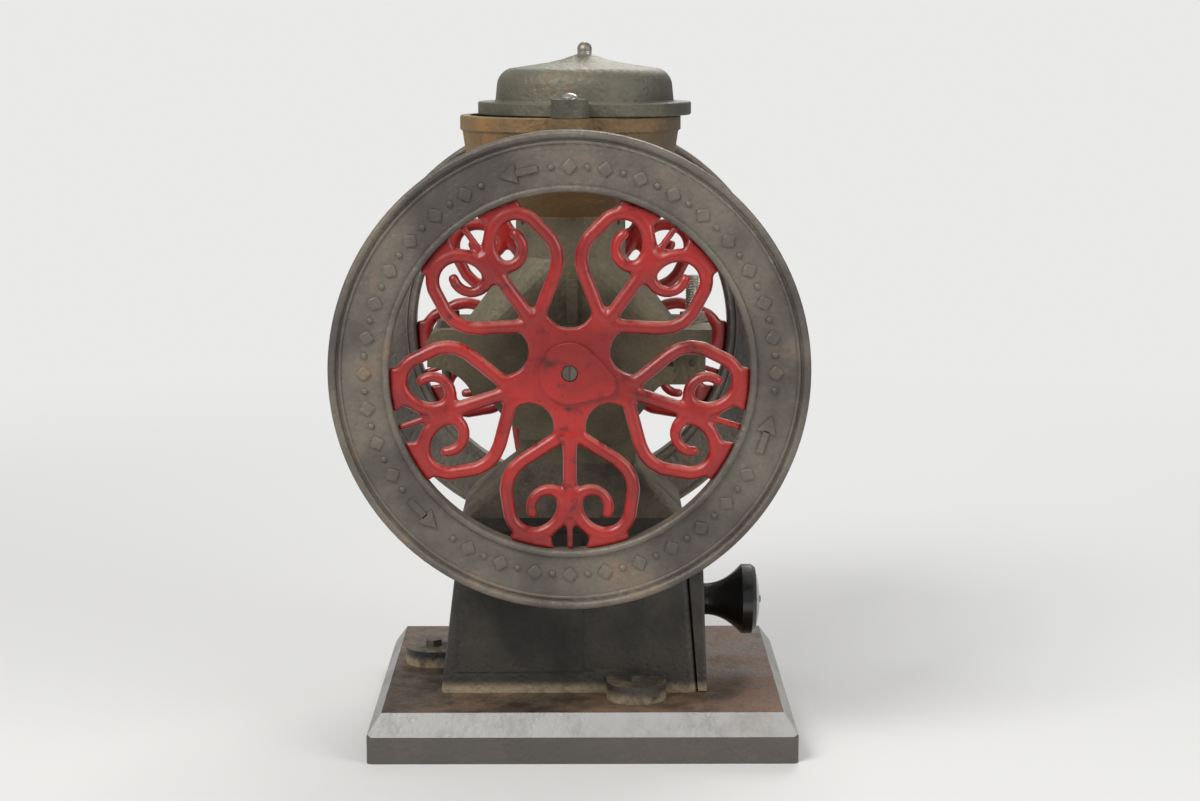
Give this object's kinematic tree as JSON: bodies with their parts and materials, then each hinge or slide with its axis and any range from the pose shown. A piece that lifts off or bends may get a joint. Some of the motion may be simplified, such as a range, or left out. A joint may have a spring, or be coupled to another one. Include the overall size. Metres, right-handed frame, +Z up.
{
  "type": "coffee grinder",
  "caption": "Hand-cranked cast iron coffee mill: fly wheels on a cross axle, lidded hopper above, front drawer with a round knob, flat base.",
  "frame": {"origin": "middle of the base's underside, on the table", "axes": "+Z up; +X forward, the way the drawer pulls out; the axle lies along Y, with the crank handle on the +Y wheel"},
  "size_m": [0.23, 0.2652, 0.3497],
  "materials": {
    "iron_base": "rust-browned cast iron, worn bright at the chamfer",
    "iron_house": "dark sand-cast iron, matt",
    "iron_body": "olive grey sand-cast iron, dusty",
    "iron_hopper": "ochre rusted cast iron",
    "iron_lid": "olive grey cast iron with ochre rust at its edges",
    "iron_rim": "weathered grey iron, beads worn to beige brown",
    "red_paint": "thick glossy red enamel with dust",
    "steel_dark": "dull dark steel",
    "steel_bright": "bright worn steel",
    "bronze": "dull bearing bronze",
    "tin": "dull grey sheet metal",
    "black": "gloss black lacquer over turned wood"
  },
  "bodies": {
    "body": {"base_plate": "iron_base", "drawer_housing": "iron_house", "foot_bolts": "steel_dark", "lower_casting": "iron_body", "upper_casting": "iron_body", "flange_bolts": "steel_dark", "clamp_pin": "steel_dark", "clamp_stud": "steel_bright", "clamp_nut": "steel_bright", "bushes": "bronze", "fixed_burr": "steel_dark", "burr_screws": "steel_dark", "hopper": "iron_hopper", "hopper_screws": "steel_dark", "lid_screw": "steel_bright"},
    "wheels": {"axle": "steel_dark", "feed_worm": "steel_dark", "turning_burr": "steel_dark", "near_rim": "iron_rim", "near_scrolls": "red_paint", "near_hub": "red_paint", "near_cover": "red_paint", "far_rim": "iron_rim", "far_scrolls": "red_paint", "far_hub": "red_paint", "far_cover": "red_paint", "hub_pins": "steel_dark", "hub_screws": "steel_dark", "handle_spindle": "steel_dark"},
    "grip": {"handle_grip": "black"},
    "drawer": {"drawer_tray": "tin", "drawer_front": "iron_house", "drawer_knob": "black", "knob_screw": "steel_dark"},
    "lid": {"lid": "iron_lid", "lid_finial": "steel_bright"}
  },
  "joints": [
    {"name": "wheel_turn", "type": "hinge", "parent": "body", "child": "wheels", "pos_m": [-0.006, 0, 0.194], "axis": [0, -1, 0], "continuous": true},
    {"name": "grip_turn", "type": "hinge", "parent": "wheels", "child": "grip", "pos_m": [-0.006, 0.13, 0.095], "axis": [0, 1, 0], "continuous": true},
    {"name": "drawer_slide", "type": "slide", "parent": "body", "child": "drawer", "axis": [1, 0, 0], "range_m": [0, 0.1]},
    {"name": "lid_turn", "type": "hinge", "parent": "body", "child": "lid", "pos_m": [-0.006, -0.059, 0.3133], "axis": [0, 0, 1], "range_deg": [-110, 7]}
  ]
}
